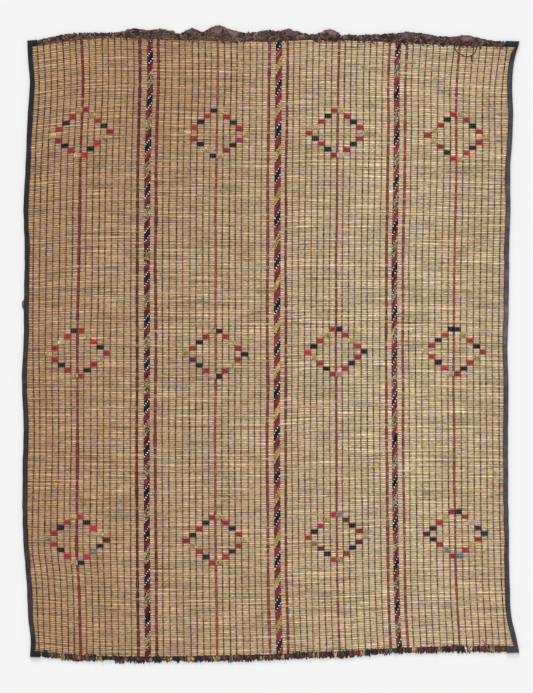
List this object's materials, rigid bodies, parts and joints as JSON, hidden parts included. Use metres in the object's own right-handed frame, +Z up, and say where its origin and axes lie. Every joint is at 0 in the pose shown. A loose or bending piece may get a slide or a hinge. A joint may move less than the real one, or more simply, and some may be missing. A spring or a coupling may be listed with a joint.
{
  "type": "reed and leather mat",
  "caption": "Flat hand-made floor mat of reeds laid crosswise and bound with leather thongs, with slanted leather bands, small lozenges, folded side bindings and ragged ends.",
  "frame": {"origin": "on the surface that the mat lies on, under the middle of its outline", "axes": "+Z up, +Y along the mat towards its ragged far end, +X along the reeds to the right"},
  "size_m": [1.592, 2.0424, 0.0125],
  "materials": {
    "reed": "dry split reed, matt, with leather thongs woven through",
    "band": "dyed leather strips wrapped on a slant, worn satin",
    "binding": "folded leather, worn satin",
    "edging": "ragged leather, matt",
    "thong": "narrow leather thongs, matt",
    "patch": "small dyed leather wraps, matt"
  },
  "bodies": {
    "root": {"reed_mat": "reed", "band_left": "band", "band_middle": "band", "band_right": "band", "binding_left": "binding", "binding_right": "binding", "edging_top": "edging", "edging_bottom": "edging"}
  },
  "joints": []
}
